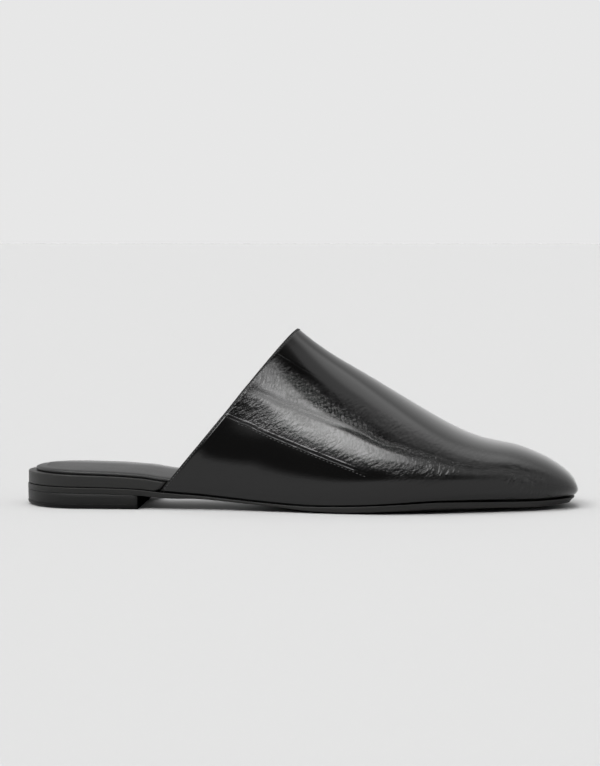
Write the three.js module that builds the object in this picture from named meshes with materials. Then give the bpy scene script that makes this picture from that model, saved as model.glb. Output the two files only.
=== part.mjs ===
import * as THREE from 'three';

// Flat backless mule for a right foot: a pull-over vamp of black leather on a thin leather sole.
// Millimetres. +X points to the toe, +Y to the inner side of the foot, +Z up, the floor is Z = 0.
// Lengths along the shoe are measured from the back of the heel, and the finished group is moved
// so that its origin is the middle of the heel's resting face.

// Sizes of the sole and the heel
const soleLength = 259;
const ballWidth = 84;
const outsoleThickness = 2.7;
const outsoleBevel = 0.8;
const waistSkive = 1.5; // how much thinner the outsole is at its waist
const heelSeatHeight = 7.4; // underside of the outsole above the floor, at the back
const toeSpring = 2.5; // underside of the outsole above the floor, at the toe
const edgeLift = 2.5; // how far the sole's edge rolls up beside the ball
const heelLength = 55.5;
const liftThickness = 2.4;
const liftRounding = 2.0; // how far the lift's edge rounds in before it meets the floor
const blockInset = 0.3; // foot of the heel block, in from the outsole's edge

// Sizes of what the foot stands on
const heelPadThickness = 5.7; // wrapped insole board at the heel
const foreBoardThickness = 3.0; // the same board under the ball
const rimInset = 0.3;
const rimRounding = 0.7;
const sockThickness = 1.8;
const sockHeelInset = 3.9;
const sockWaistInset = 1.9;

// Sizes of the upper
const wallThickness = 1.8;
const featherInset = 1.0; // foot of the upper, in from the sole's edge
const collarFootAt = 65.9;
const instepAt = 128.4;
const instepHeight = 83.3;
const collarBow = 1.2; // how far the collar's edge bows back between its foot and its peak

// Clearances between pieces
const seatGap = 0.3;
const sideGap = 0.6;
const rimEndGap = 0.5;
const rimEndStep = 0.7; // length over which the board steps in behind the rim's end

// How finely the curved faces are divided
const traceSteps = 600;
const ringSteps = 42;
const heelSteps = 14;
const ribCount = 44;
const ribSteps = 9;
const ribCrowding = 0.4; // how much closer the ribs lie at the toe
const tipCrowding = 0.5; // how much closer the stations lie at the sole's two tips
const slopeStep = 1e-4;

// Half widths of the sole, as shares of ballWidth, at shares of soleLength
const outlineRows = [
  { at: 0.00, lateral: 0.330, medial: 0.330 },
  { at: 0.10, lateral: 0.335, medial: 0.335 },
  { at: 0.18, lateral: 0.338, medial: 0.325 },
  { at: 0.30, lateral: 0.347, medial: 0.288 },
  { at: 0.42, lateral: 0.395, medial: 0.278 },
  { at: 0.54, lateral: 0.472, medial: 0.355 },
  { at: 0.64, lateral: 0.512, medial: 0.440 },
  { at: 0.72, lateral: 0.488, medial: 0.480 },
  { at: 0.80, lateral: 0.420, medial: 0.442 },
  { at: 0.88, lateral: 0.330, medial: 0.362 },
  { at: 0.95, lateral: 0.262, medial: 0.285 },
  { at: 1.00, lateral: 0.228, medial: 0.240 },
];
const heelCapShare = 0.105;
const heelCapPower = 2;
const toeCapShare = 0.10;
const toeCapPower = 2.7;

// Underside of the outsole: shares of heelSeatHeight, toeSpring, edgeLift and waistSkive
const soleRows = [
  { at: 0.00, seat: 1.000, spring: 0.00, lift: 0.00, skive: 0.00 },
  { at: 0.15, seat: 0.960, spring: 0.00, lift: 0.00, skive: 0.00 },
  { at: 0.22, seat: 0.870, spring: 0.00, lift: 0.00, skive: 0.00 },
  { at: 0.26, seat: 0.705, spring: 0.00, lift: 0.00, skive: 0.10 },
  { at: 0.33, seat: 0.535, spring: 0.00, lift: 0.00, skive: 0.80 },
  { at: 0.39, seat: 0.345, spring: 0.00, lift: 0.00, skive: 0.95 },
  { at: 0.45, seat: 0.175, spring: 0.00, lift: 0.00, skive: 1.00 },
  { at: 0.53, seat: 0.020, spring: 0.00, lift: 0.08, skive: 0.45 },
  { at: 0.60, seat: 0.000, spring: 0.00, lift: 0.32, skive: 0.00 },
  { at: 0.68, seat: 0.000, spring: 0.00, lift: 0.70, skive: 0.00 },
  { at: 0.75, seat: 0.000, spring: 0.06, lift: 1.00, skive: 0.00 },
  { at: 0.82, seat: 0.000, spring: 0.26, lift: 0.72, skive: 0.00 },
  { at: 0.88, seat: 0.000, spring: 0.50, lift: 0.34, skive: 0.00 },
  { at: 0.93, seat: 0.000, spring: 0.72, lift: 0.08, skive: 0.00 },
  { at: 1.00, seat: 0.000, spring: 1.00, lift: 0.00, skive: 0.00 },
];

// How the rolled edge dies out across the sole: share of edgeLift at a distance from the edge
const rollRows = [
  { inset: 0, share: 1.00 },
  { inset: 3.4, share: 0.52 },
  { inset: 7, share: 0.17 },
  { inset: 12, share: 0 },
];
const innerInsets = [7, 12];
const tipTaper = 0.5; // inner rings come closer to the edge at the two tips
const tipShare = 0.12;

// Thickness of the board between its forepart (0) and its heel (1)
const boardRows = [
  { at: 0.00, heel: 1.00 },
  { at: 0.15, heel: 0.85 },
  { at: 0.25, heel: 0.66 },
  { at: 0.40, heel: 0.35 },
  { at: 0.60, heel: 0.00 },
  { at: 1.00, heel: 0.00 },
];

// Sock lining's distance from the edge: share from the waist value (0) to the heel value (1)
const sockRows = [
  { at: 0.00, heel: 1.00 },
  { at: 0.06, heel: 0.72 },
  { at: 0.14, heel: 0.10 },
  { at: 0.20, heel: 0.00 },
  { at: 1.00, heel: 0.00 },
];

// Ribs of the upper, from the collar to the tip of the toe. foot: share of the feather line.
// along and height: the ridge, between the instep and the toe. rise: share of the rib's height.
// lean and middle: shares of ballWidth. crown: share of the foot's half width.
const ribRows = [
  { foot: 0.000, along: 0.000, height: 1.000, rise: 0.430, lean: 0.128, crown: 0.770, middle: 0.045 },
  { foot: 0.088, along: 0.088, height: 0.888, rise: 0.470, lean: 0.121, crown: 0.870, middle: 0.043 },
  { foot: 0.174, along: 0.175, height: 0.797, rise: 0.500, lean: 0.116, crown: 0.920, middle: 0.041 },
  { foot: 0.260, along: 0.264, height: 0.711, rise: 0.510, lean: 0.112, crown: 0.950, middle: 0.038 },
  { foot: 0.342, along: 0.351, height: 0.624, rise: 0.510, lean: 0.108, crown: 0.955, middle: 0.035 },
  { foot: 0.423, along: 0.439, height: 0.536, rise: 0.505, lean: 0.105, crown: 0.950, middle: 0.031 },
  { foot: 0.500, along: 0.526, height: 0.452, rise: 0.500, lean: 0.104, crown: 0.940, middle: 0.027 },
  { foot: 0.569, along: 0.614, height: 0.378, rise: 0.500, lean: 0.105, crown: 0.930, middle: 0.022 },
  { foot: 0.633, along: 0.702, height: 0.330, rise: 0.510, lean: 0.107, crown: 0.930, middle: 0.018 },
  { foot: 0.696, along: 0.788, height: 0.302, rise: 0.530, lean: 0.108, crown: 0.930, middle: 0.014 },
  { foot: 0.755, along: 0.857, height: 0.264, rise: 0.550, lean: 0.104, crown: 0.920, middle: 0.011 },
  { foot: 0.810, along: 0.919, height: 0.216, rise: 0.565, lean: 0.095, crown: 0.900, middle: 0.008 },
  { foot: 0.857, along: 0.964, height: 0.168, rise: 0.575, lean: 0.083, crown: 0.880, middle: 0.006 },
  { foot: 0.894, along: 0.992, height: 0.129, rise: 0.580, lean: 0.069, crown: 0.860, middle: 0.004 },
  { foot: 0.925, along: 1.009, height: 0.092, rise: 0.580, lean: 0.053, crown: 0.830, middle: 0.003 },
  { foot: 0.950, along: 1.018, height: 0.057, rise: 0.580, lean: 0.036, crown: 0.800, middle: 0.002 },
  { foot: 0.975, along: 1.018, height: 0.027, rise: 0.580, lean: 0.015, crown: 0.770, middle: 0.001 },
  { foot: 1.000, along: 1.000, height: 0.000, rise: 0.580, lean: 0.000, crown: 0.750, middle: 0.000 },
];

// Curves through the tables

// Smooth curve with continuous curvature, for the forms that show
function smoothCurve(rows, from, to) {
  const xs = rows.map((row) => row[from]);
  const ys = rows.map((row) => row[to]);
  const last = xs.length - 1;
  const bend = new Array(last + 1).fill(0);
  const work = new Array(last + 1).fill(0);
  for (let i = 1; i < last; i++) {
    const ratio = (xs[i] - xs[i - 1]) / (xs[i + 1] - xs[i - 1]);
    const pivot = ratio * bend[i - 1] + 2;
    bend[i] = (ratio - 1) / pivot;
    const slopeAfter = (ys[i + 1] - ys[i]) / (xs[i + 1] - xs[i]);
    const slopeBefore = (ys[i] - ys[i - 1]) / (xs[i] - xs[i - 1]);
    const change = 6 * (slopeAfter - slopeBefore) / (xs[i + 1] - xs[i - 1]);
    work[i] = (change - ratio * work[i - 1]) / pivot;
  }
  bend[last] = 0;
  for (let i = last - 1; i >= 0; i--) bend[i] = bend[i] * bend[i + 1] + work[i];
  return (x) => {
    const i = spanOf(xs, x);
    const width = xs[i + 1] - xs[i];
    const a = (xs[i + 1] - x) / width;
    const b = (x - xs[i]) / width;
    const cubic = ((a ** 3 - a) * bend[i] + (b ** 3 - b) * bend[i + 1]) * width * width / 6;
    return a * ys[i] + b * ys[i + 1] + cubic;
  };
}

// Curve that never overshoots its rows, so that a level stretch stays level
function levelCurve(rows, from, to) {
  const xs = rows.map((row) => row[from]);
  const ys = rows.map((row) => row[to]);
  const slopes = xs.map((x, i) => {
    if (i === 0 || i === xs.length - 1) return 0;
    const before = (ys[i] - ys[i - 1]) / (x - xs[i - 1]);
    const after = (ys[i + 1] - ys[i]) / (xs[i + 1] - x);
    return before * after > 0 ? 2 * before * after / (before + after) : 0;
  });
  return (x) => {
    const i = spanOf(xs, x);
    const width = xs[i + 1] - xs[i];
    const t = THREE.MathUtils.clamp((x - xs[i]) / width, 0, 1);
    const start = ys[i] * (1 + 2 * t) * (1 - t) ** 2 + slopes[i] * width * t * (1 - t) ** 2;
    const end = ys[i + 1] * (3 - 2 * t) * t ** 2 - slopes[i + 1] * width * (1 - t) * t ** 2;
    return start + end;
  };
}

function spanOf(xs, x) {
  let i = 0;
  while (i < xs.length - 2 && x > xs[i + 1]) i++;
  return i;
}

// Share of edgeLift at a distance from the edge, straight between its rows
function rollShare(inset) {
  const insets = rollRows.map((row) => row.inset);
  const i = spanOf(insets, inset);
  const t = THREE.MathUtils.clamp((inset - insets[i]) / (insets[i + 1] - insets[i]), 0, 1);
  return THREE.MathUtils.lerp(rollRows[i].share, rollRows[i + 1].share, t);
}

// Heights along the shoe, for a place x and its distance from the edge

const seatAt = levelCurve(soleRows, 'at', 'seat');
const springAt = levelCurve(soleRows, 'at', 'spring');
const liftAt = levelCurve(soleRows, 'at', 'lift');
const skiveAt = levelCurve(soleRows, 'at', 'skive');
const boardAt = levelCurve(boardRows, 'at', 'heel');
const sockAt = levelCurve(sockRows, 'at', 'heel');

function shareAlong(x) {
  return THREE.MathUtils.clamp(x / soleLength, 0, 1);
}

// The underside that the outsole would have at its full thickness
function soleLine(x, inset) {
  const share = shareAlong(x);
  const keel = heelSeatHeight * seatAt(share) + toeSpring * springAt(share);
  return keel + edgeLift * liftAt(share) * rollShare(inset);
}

function soleUnderside(x, inset) {
  return soleLine(x, inset) + waistSkive * skiveAt(shareAlong(x));
}

function soleTop(x, inset) {
  return soleLine(x, inset) + outsoleThickness;
}

function boardUnderside(x, inset) {
  return soleTop(x, inset) + seatGap;
}

function boardTop(x, inset) {
  const heel = boardAt(shareAlong(x));
  return boardUnderside(x, inset) + THREE.MathUtils.lerp(foreBoardThickness, heelPadThickness, heel);
}

// Outline of the sole

function capAt(share) {
  const heel = Math.min(share / heelCapShare, 1);
  const toe = Math.min((1 - share) / toeCapShare, 1);
  const heelCap = (1 - (1 - heel) ** heelCapPower) ** (1 / heelCapPower);
  const toeCap = (1 - (1 - toe) ** toeCapPower) ** (1 / toeCapPower);
  return heelCap * toeCap;
}

// One side of the outline from the back of the heel to the tip of the toe, with lengths and normals
function traceSide(column, side) {
  const halfWidth = smoothCurve(outlineRows, 'at', column);
  const points = [];
  for (let i = 0; i <= traceSteps; i++) {
    const share = (1 - Math.cos(Math.PI * i / traceSteps)) / 2;
    const y = side * ballWidth * halfWidth(share) * capAt(share);
    points.push({ x: share * soleLength, y, run: 0, inX: 0, inY: 0 });
  }
  for (let i = 1; i <= traceSteps; i++) {
    const step = Math.hypot(points[i].x - points[i - 1].x, points[i].y - points[i - 1].y);
    points[i].run = points[i - 1].run + step;
  }
  for (let i = 1; i < traceSteps; i++) {
    const dx = points[i + 1].x - points[i - 1].x;
    const dy = points[i + 1].y - points[i - 1].y;
    const size = Math.hypot(dx, dy);
    points[i].inX = side * dy / size;
    points[i].inY = -side * dx / size;
  }
  points[0].inX = 1;
  points[traceSteps].inX = -1;
  return points;
}

const lateralEdge = traceSide('lateral', -1);
const medialEdge = traceSide('medial', 1);
const bothEdges = [lateralEdge, medialEdge];

// A point of one side, at a share of that side's length, moved in by an inset
function edgePoint(edge, share, inset) {
  const run = share * edge[traceSteps].run;
  const i = spanOf(edge.map((point) => point.run), run);
  const t = (run - edge[i].run) / (edge[i + 1].run - edge[i].run);
  const mix = (key) => THREE.MathUtils.lerp(edge[i][key], edge[i + 1][key], t);
  const size = Math.hypot(mix('inX'), mix('inY'));
  const inward = new THREE.Vector3(mix('inX') / size, mix('inY') / size, 0);
  const onEdge = new THREE.Vector3(mix('x'), mix('y'), 0);
  return { point: onEdge.addScaledVector(inward, inset), inward };
}

// Share of a side's length at which it reaches x
function shareAtX(edge, x) {
  const i = spanOf(edge.map((point) => point.x), x);
  const t = (x - edge[i].x) / (edge[i + 1].x - edge[i].x);
  return THREE.MathUtils.lerp(edge[i].run, edge[i + 1].run, t) / edge[traceSteps].run;
}

// Stations lie closer together at the two tips than along the sides
function stationToShare(t) {
  return THREE.MathUtils.lerp(t, (1 - Math.cos(Math.PI * t)) / 2, tipCrowding);
}

function shareToStation(share) {
  let low = 0;
  let high = 1;
  while (high - low > 1e-9) {
    const middle = (low + high) / 2;
    if (stationToShare(middle) < share) low = middle;
    else high = middle;
  }
  return (low + high) / 2;
}

// Rings and stacks: the plates of the sole

// A closed ring round the shoe: out along the outer side, back along the inner side.
// Each stretch runs from one x to another with its own inset and number of steps.
function ring(stretches, heightAt) {
  const sides = bothEdges.map((edge) => {
    const points = [];
    for (const { from, to, steps, inset } of stretches) {
      const first = shareToStation(from <= 0 ? 0 : shareAtX(edge, from));
      const last = shareToStation(to >= soleLength ? 1 : shareAtX(edge, to));
      for (let i = 0; i <= steps; i++) {
        const share = stationToShare(THREE.MathUtils.lerp(first, last, i / steps));
        const distance = inset(edgePoint(edge, share, 0).point.x);
        const { point } = edgePoint(edge, share, distance);
        if (i === steps && to < soleLength) point.x = to;
        point.z = heightAt(point.x, distance);
        points.push(point);
      }
    }
    return points;
  });
  return { lateral: sides[0], medial: sides[1] };
}

function quad(faces, a, b, c, d) {
  faces.push([a, b, c], [a, c, d]);
}

// Closed solid from rings stacked from its underside round its side to its top
function stackSolid(rings) {
  const faces = [];
  const loops = rings.map(({ lateral, medial }) => [...lateral, ...medial.slice().reverse()]);
  for (let level = 0; level < loops.length - 1; level++) {
    const lower = loops[level];
    const upper = loops[level + 1];
    for (let i = 0; i < lower.length; i++) {
      const next = (i + 1) % lower.length;
      quad(faces, lower[i], lower[next], upper[next], upper[i]);
    }
  }
  const under = rings[0];
  const top = rings[rings.length - 1];
  for (let i = 0; i < under.lateral.length - 1; i++) {
    quad(faces, under.medial[i], under.medial[i + 1], under.lateral[i + 1], under.lateral[i]);
    quad(faces, top.lateral[i], top.lateral[i + 1], top.medial[i + 1], top.medial[i]);
  }
  return faces;
}

// Inset of an inner ring, which stays inside the piece's own edge
function innerInset(nominal, edgeInset) {
  return (x) => {
    const share = shareAlong(x);
    const tip = Math.min(Math.min(share, 1 - share) / tipShare, 1);
    const tapered = nominal * THREE.MathUtils.lerp(tipTaper, 1, tip);
    return Math.max(tapered, edgeInset(x) + nominal * (1 - tipTaper) / 2);
  };
}

function innerRings(makeStretches, edgeInset, heightAt) {
  return innerInsets.map((nominal) => ring(makeStretches(innerInset(nominal, edgeInset)), heightAt));
}

// Materials, in the colours of the photographed shoe
const leather = (color, roughness) => new THREE.MeshStandardMaterial({ color, roughness, metalness: 0 });
const materials = {
  upper: leather(0x1d1b1a, 0.32),
  outsole: leather(0x2b2a29, 0.5),
  heelBlock: leather(0x292827, 0.55),
  heelLift: leather(0x1c1b1b, 0.7),
  insole: leather(0x2f2e2d, 0.45),
  sock: leather(0x4a4846, 0.6),
};

function solidMesh(name, faces, material) {
  const positions = [];
  for (const [a, b, c] of faces) {
    const thin = a.distanceTo(b) < slopeStep || b.distanceTo(c) < slopeStep || c.distanceTo(a) < slopeStep;
    if (!thin) positions.push(...a.toArray(), ...b.toArray(), ...c.toArray());
  }
  const geometry = new THREE.BufferGeometry();
  geometry.setAttribute('position', new THREE.Float32BufferAttribute(positions, 3));
  geometry.computeVertexNormals();
  const mesh = new THREE.Mesh(geometry, material);
  mesh.name = name;
  return mesh;
}

// Outsole: one plate from the back of the heel to the toe, its edge rolled up beside the ball
function makeOutsole() {
  const full = (inset) => [{ from: 0, to: soleLength, steps: ringSteps, inset }];
  const even = (distance) => full(() => distance);
  const onEdge = () => 0;
  const joinInset = rollRows[1].inset;
  const under = innerRings(full, onEdge, soleUnderside).reverse();
  const top = innerRings(full, onEdge, soleTop);
  return stackSolid([
    ...under,
    ring(even(joinInset), soleUnderside),
    ring(even(outsoleBevel), soleUnderside),
    ring(even(0), (x, inset) => soleUnderside(x, inset) + outsoleBevel),
    ring(even(0), soleTop),
    ring(even(joinInset), soleTop),
    ...top,
  ]);
}

// Heel block and its lift: straight across at the breast, flush with the outsole
function heelStretch(inset) {
  return [{ from: 0, to: heelLength, steps: heelSteps, inset: () => inset }];
}

function makeHeelBlock() {
  return stackSolid([
    ring(heelStretch(blockInset), () => liftThickness + seatGap),
    ring(heelStretch(0), (x, inset) => soleUnderside(x, inset) - seatGap),
  ]);
}

function makeHeelLift() {
  const roundRows = [
    { up: 0, inward: 1 },
    { up: 0.2, inward: 0.45 },
    { up: 0.5, inward: 0.12 },
    { up: 0.8, inward: 0 },
    { up: 1, inward: 0 },
  ];
  return stackSolid(roundRows.map(({ up, inward }) => {
    return ring(heelStretch(inward * liftRounding), () => up * liftThickness);
  }));
}

// The collar's slant in the side view, which the rim's front end follows
const collarSlant = (instepAt - collarFootAt) / (instepHeight - soleTop(collarFootAt, featherInset));

function rimEndAt(height) {
  const aboveFoot = height - soleTop(collarFootAt, featherInset) - seatGap;
  return collarFootAt - rimEndGap - rimEndStep + aboveFoot * collarSlant;
}

// Insole board: its wrapped edge shows as a rim round the heel, and it steps in under the upper
const coveredInset = featherInset + wallThickness + sideGap;

function boardStretches(rimDistance, height, coveredDistance) {
  const end = rimEndAt(height);
  return [
    { from: 0, to: end, steps: heelSteps, inset: rimDistance },
    { from: end + rimEndStep, to: soleLength, steps: ringSteps - heelSteps, inset: coveredDistance },
  ];
}

function makeInsole() {
  const underHeight = boardUnderside(collarFootAt, 0);
  const topHeight = boardTop(collarFootAt, 0);
  const rim = () => rimInset;
  const softRim = () => rimInset + rimRounding;
  const covered = () => coveredInset;
  const underStretches = (inset) => boardStretches(inset, underHeight, inset);
  const topStretches = (inset) => boardStretches(inset, topHeight, inset);
  const belowRounding = (x, inset) => boardTop(x, inset) - rimRounding;
  return stackSolid([
    ...innerRings(underStretches, covered, boardUnderside).reverse(),
    ring(boardStretches(rim, underHeight, covered), boardUnderside),
    ring(boardStretches(rim, topHeight - rimRounding, covered), belowRounding),
    ring(boardStretches(softRim, topHeight, covered), boardTop),
    ...innerRings(topStretches, covered, boardTop),
  ]);
}

// Padded sock lining on the board, with a rounded edge
function makeSock() {
  const footInset = coveredInset + seatGap;
  const coveredFrom = shareAlong(collarFootAt);
  const coveredBy = shareAlong(instepAt);
  const edge = (x) => {
    const share = shareAlong(x);
    const covered = THREE.MathUtils.smoothstep(share, coveredFrom, coveredBy);
    const open = THREE.MathUtils.lerp(sockWaistInset, sockHeelInset, sockAt(share));
    return THREE.MathUtils.lerp(open, footInset, covered);
  };
  const full = (inset) => [{ from: 0, to: soleLength, steps: ringSteps, inset }];
  const lifted = (share) => (x, inset) => boardTop(x, inset) + seatGap + share * sockThickness;
  const roundRows = [
    { up: 0, inward: 0.15 },
    { up: 0.5, inward: 0 },
    { up: 0.85, inward: 0.25 },
    { up: 1, inward: 0.75 },
  ];
  const round = roundRows.map(({ up, inward }) => {
    const inset = (x) => edge(x) + inward * sockThickness;
    return ring(full(inset), lifted(up));
  });
  const rounded = (x) => edge(x) + sockThickness;
  return stackSolid([
    ...innerRings(full, rounded, lifted(0)).reverse(),
    ...round,
    ...innerRings(full, rounded, lifted(1)),
  ]);
}

// Upper: ribs from the feather line over the ridge, from the collar to the tip of the toe

const ribColumns = ['along', 'height', 'rise', 'lean', 'crown', 'middle'];
const ribCurves = Object.fromEntries(ribColumns.map((key) => [key, smoothCurve(ribRows, 'foot', key)]));
const toeTipAt = soleLength - featherInset;
const toeTipHeight = soleTop(toeTipAt, featherInset) + seatGap;
const collarShares = bothEdges.map((edge) => shareAtX(edge, collarFootAt));
const featherLength = (1 - collarShares[0]) * lateralEdge[traceSteps].run;

function ridgePoint(u) {
  const x = THREE.MathUtils.lerp(instepAt, toeTipAt, ribCurves.along(u));
  const z = THREE.MathUtils.lerp(toeTipHeight, instepHeight, ribCurves.height(u));
  return new THREE.Vector3(x, ballWidth * ribCurves.middle(u), z);
}

// Outer face of the upper: u from collar to toe, v from the outer foot (-1) over the ridge to the inner (1)
function upperPoint(u, v) {
  const side = v < 0 ? 0 : 1;
  const share = THREE.MathUtils.lerp(collarShares[side], 1, u);
  const { point: foot, inward } = edgePoint(bothEdges[side], share, featherInset);
  foot.z = soleTop(foot.x, featherInset) + seatGap;
  const ridge = ridgePoint(u);
  const shoulder = foot.clone().lerp(ridge, ribCurves.rise(u));
  shoulder.y = foot.y;
  shoulder.addScaledVector(inward, -ballWidth * ribCurves.lean(u));
  const crown = ridge.clone();
  crown.y += foot.y * ribCurves.crown(u);
  return new THREE.CubicBezierCurve3(foot, shoulder, crown, ridge).getPoint(1 - Math.abs(v));
}

// An arch from 0 over 1 to 0
function archAt(t) {
  return 4 * t * (1 - t);
}

// Where the collar's edge crosses a line of constant v: a little behind the first rib
function collarStart(v) {
  return -archAt((1 - Math.abs(v)) ** 2) * collarBow / featherLength;
}

function upperNormal(u, v) {
  const uLow = u - slopeStep;
  const vLow = Math.max(v - slopeStep, -1);
  const alongU = upperPoint(Math.min(u + slopeStep, 1), v).sub(upperPoint(uLow, v));
  const alongV = upperPoint(u, Math.min(v + slopeStep, 1)).sub(upperPoint(u, vLow));
  const normal = alongU.cross(alongV);
  if (Math.abs(v) === 1) normal.z = 0;
  return normal.normalize();
}

function makeUpper() {
  const outer = [];
  const inner = [];
  for (let i = 0; i <= ribCount; i++) {
    const t = i / ribCount;
    const ribShare = THREE.MathUtils.lerp(t, Math.sin(Math.PI * t / 2), ribCrowding);
    outer.push([]);
    inner.push([]);
    for (let j = 0; j <= 2 * ribSteps; j++) {
      const v = j / ribSteps - 1;
      const u = THREE.MathUtils.lerp(collarStart(v), 1, ribShare);
      const point = upperPoint(u, v);
      const normal = i < ribCount ? upperNormal(u, v) : new THREE.Vector3(1, 0, 0);
      outer[i].push(point);
      inner[i].push(point.clone().addScaledVector(normal, -wallThickness));
    }
  }
  const faces = [];
  const last = 2 * ribSteps;
  for (let i = 0; i < ribCount; i++) {
    for (let j = 0; j < last; j++) {
      quad(faces, outer[i][j], outer[i + 1][j], outer[i + 1][j + 1], outer[i][j + 1]);
      quad(faces, inner[i][j], inner[i][j + 1], inner[i + 1][j + 1], inner[i + 1][j]);
    }
    quad(faces, outer[i][0], inner[i][0], inner[i + 1][0], outer[i + 1][0]);
    quad(faces, outer[i][last], outer[i + 1][last], inner[i + 1][last], inner[i][last]);
  }
  for (let j = 0; j < last; j++) {
    quad(faces, outer[0][j], outer[0][j + 1], inner[0][j + 1], inner[0][j]);
  }
  return faces;
}

// The shoe
const mule = new THREE.Group();
mule.name = 'mule';
mule.add(
  solidMesh('outsole', makeOutsole(), materials.outsole),
  solidMesh('heel_block', makeHeelBlock(), materials.heelBlock),
  solidMesh('heel_lift', makeHeelLift(), materials.heelLift),
  solidMesh('insole', makeInsole(), materials.insole),
  solidMesh('sock', makeSock(), materials.sock),
  solidMesh('upper', makeUpper(), materials.upper),
);
mule.position.x = -heelLength / 2;

export default mule;
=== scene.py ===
import math
import bpy
import bmesh
import numpy as np
from mathutils import Matrix, Vector


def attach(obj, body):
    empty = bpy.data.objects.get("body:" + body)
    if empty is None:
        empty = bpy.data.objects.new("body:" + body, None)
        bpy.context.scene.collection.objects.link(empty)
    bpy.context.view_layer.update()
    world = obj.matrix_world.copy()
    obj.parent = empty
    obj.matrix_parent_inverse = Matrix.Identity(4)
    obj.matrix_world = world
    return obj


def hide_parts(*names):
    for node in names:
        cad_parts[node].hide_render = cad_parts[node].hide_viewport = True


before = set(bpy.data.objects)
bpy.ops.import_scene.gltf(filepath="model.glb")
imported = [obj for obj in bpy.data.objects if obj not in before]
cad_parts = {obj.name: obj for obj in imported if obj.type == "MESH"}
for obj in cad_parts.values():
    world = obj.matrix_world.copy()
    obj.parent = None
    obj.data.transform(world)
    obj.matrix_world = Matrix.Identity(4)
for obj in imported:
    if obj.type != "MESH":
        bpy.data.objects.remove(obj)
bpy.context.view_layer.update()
print("frame loaded")

# Sizes of the shoe in millimetres. Lengths along the shoe start at the back of the heel.
shoe = {
    "soleLength": 259, "ballWidth": 84, "outsoleThickness": 2.7, "waistSkive": 1.5, "heelSeatHeight": 7.4,
    "toeSpring": 2.5, "edgeLift": 2.5, "heelLength": 55.5, "liftThickness": 2.4,
    "heelPadThickness": 5.7, "foreBoardThickness": 3.0, "sockThickness": 1.8,
    "featherInset": 1.0, "wallThickness": 1.8, "collarFootAt": 65.9, "instepAt": 128.4,
    "instepHeight": 83.3, "collarBow": 1.2, "seatGap": 0.3, "sideGap": 0.6,
    "rimEndGap": 0.5, "rimEndStep": 0.7, "heelCapShare": 0.105, "heelCapPower": 2,
    "toeCapShare": 0.10, "toeCapPower": 2.7, "tipTaper": 0.5, "tipShare": 0.12,
}


def table(columns, text):
    names = columns.split()
    rows = [[float(word) for word in line.split()] for line in text.strip().splitlines()]
    return {name: np.array([row[i] for row in rows]) for i, name in enumerate(names)}


# Half widths of the sole, as shares of ballWidth, at shares of soleLength
outlineRows = table("at lateral medial", """
0.00 0.330 0.330
0.10 0.335 0.335
0.18 0.338 0.325
0.30 0.347 0.288
0.42 0.395 0.278
0.54 0.472 0.355
0.64 0.512 0.440
0.72 0.488 0.480
0.80 0.420 0.442
0.88 0.330 0.362
0.95 0.262 0.285
1.00 0.228 0.240
""")

# Underside of the outsole: shares of heelSeatHeight, toeSpring, edgeLift and waistSkive
soleRows = table("at seat spring lift skive", """
0.00 1.000 0.00 0.00 0.00
0.15 0.960 0.00 0.00 0.00
0.22 0.870 0.00 0.00 0.00
0.26 0.705 0.00 0.00 0.10
0.33 0.535 0.00 0.00 0.80
0.39 0.345 0.00 0.00 0.95
0.45 0.175 0.00 0.00 1.00
0.53 0.020 0.00 0.08 0.45
0.60 0.000 0.00 0.32 0.00
0.68 0.000 0.00 0.70 0.00
0.75 0.000 0.06 1.00 0.00
0.82 0.000 0.26 0.72 0.00
0.88 0.000 0.50 0.34 0.00
0.93 0.000 0.72 0.08 0.00
1.00 0.000 1.00 0.00 0.00
""")
rollRows = table("inset share", "0 1\n3.4 0.52\n7 0.17\n12 0")
boardRows = table("at heel", "0 1\n0.15 0.85\n0.25 0.66\n0.40 0.35\n0.60 0\n1 0")
sockRows = table("at heel", "0 1\n0.06 0.72\n0.14 0.10\n0.20 0\n1 0")

# Ribs of the upper, from the collar to the tip of the toe
ribRows = table("foot along height rise lean crown middle", """
0.000 0.000 1.000 0.430 0.128 0.770 0.045
0.088 0.088 0.888 0.470 0.121 0.870 0.043
0.174 0.175 0.797 0.500 0.116 0.920 0.041
0.260 0.264 0.711 0.510 0.112 0.950 0.038
0.342 0.351 0.624 0.510 0.108 0.955 0.035
0.423 0.439 0.536 0.505 0.105 0.950 0.031
0.500 0.526 0.452 0.500 0.104 0.940 0.027
0.569 0.614 0.378 0.500 0.105 0.930 0.022
0.633 0.702 0.330 0.510 0.107 0.930 0.018
0.696 0.788 0.302 0.530 0.108 0.930 0.014
0.755 0.857 0.264 0.550 0.104 0.920 0.011
0.810 0.919 0.216 0.565 0.095 0.900 0.008
0.857 0.964 0.168 0.575 0.083 0.880 0.006
0.894 0.992 0.129 0.580 0.069 0.860 0.004
0.925 1.009 0.092 0.580 0.053 0.830 0.003
0.950 1.018 0.057 0.580 0.036 0.800 0.002
0.975 1.018 0.027 0.580 0.015 0.770 0.001
1.000 1.000 0.000 0.580 0.000 0.750 0.000
""")


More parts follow.
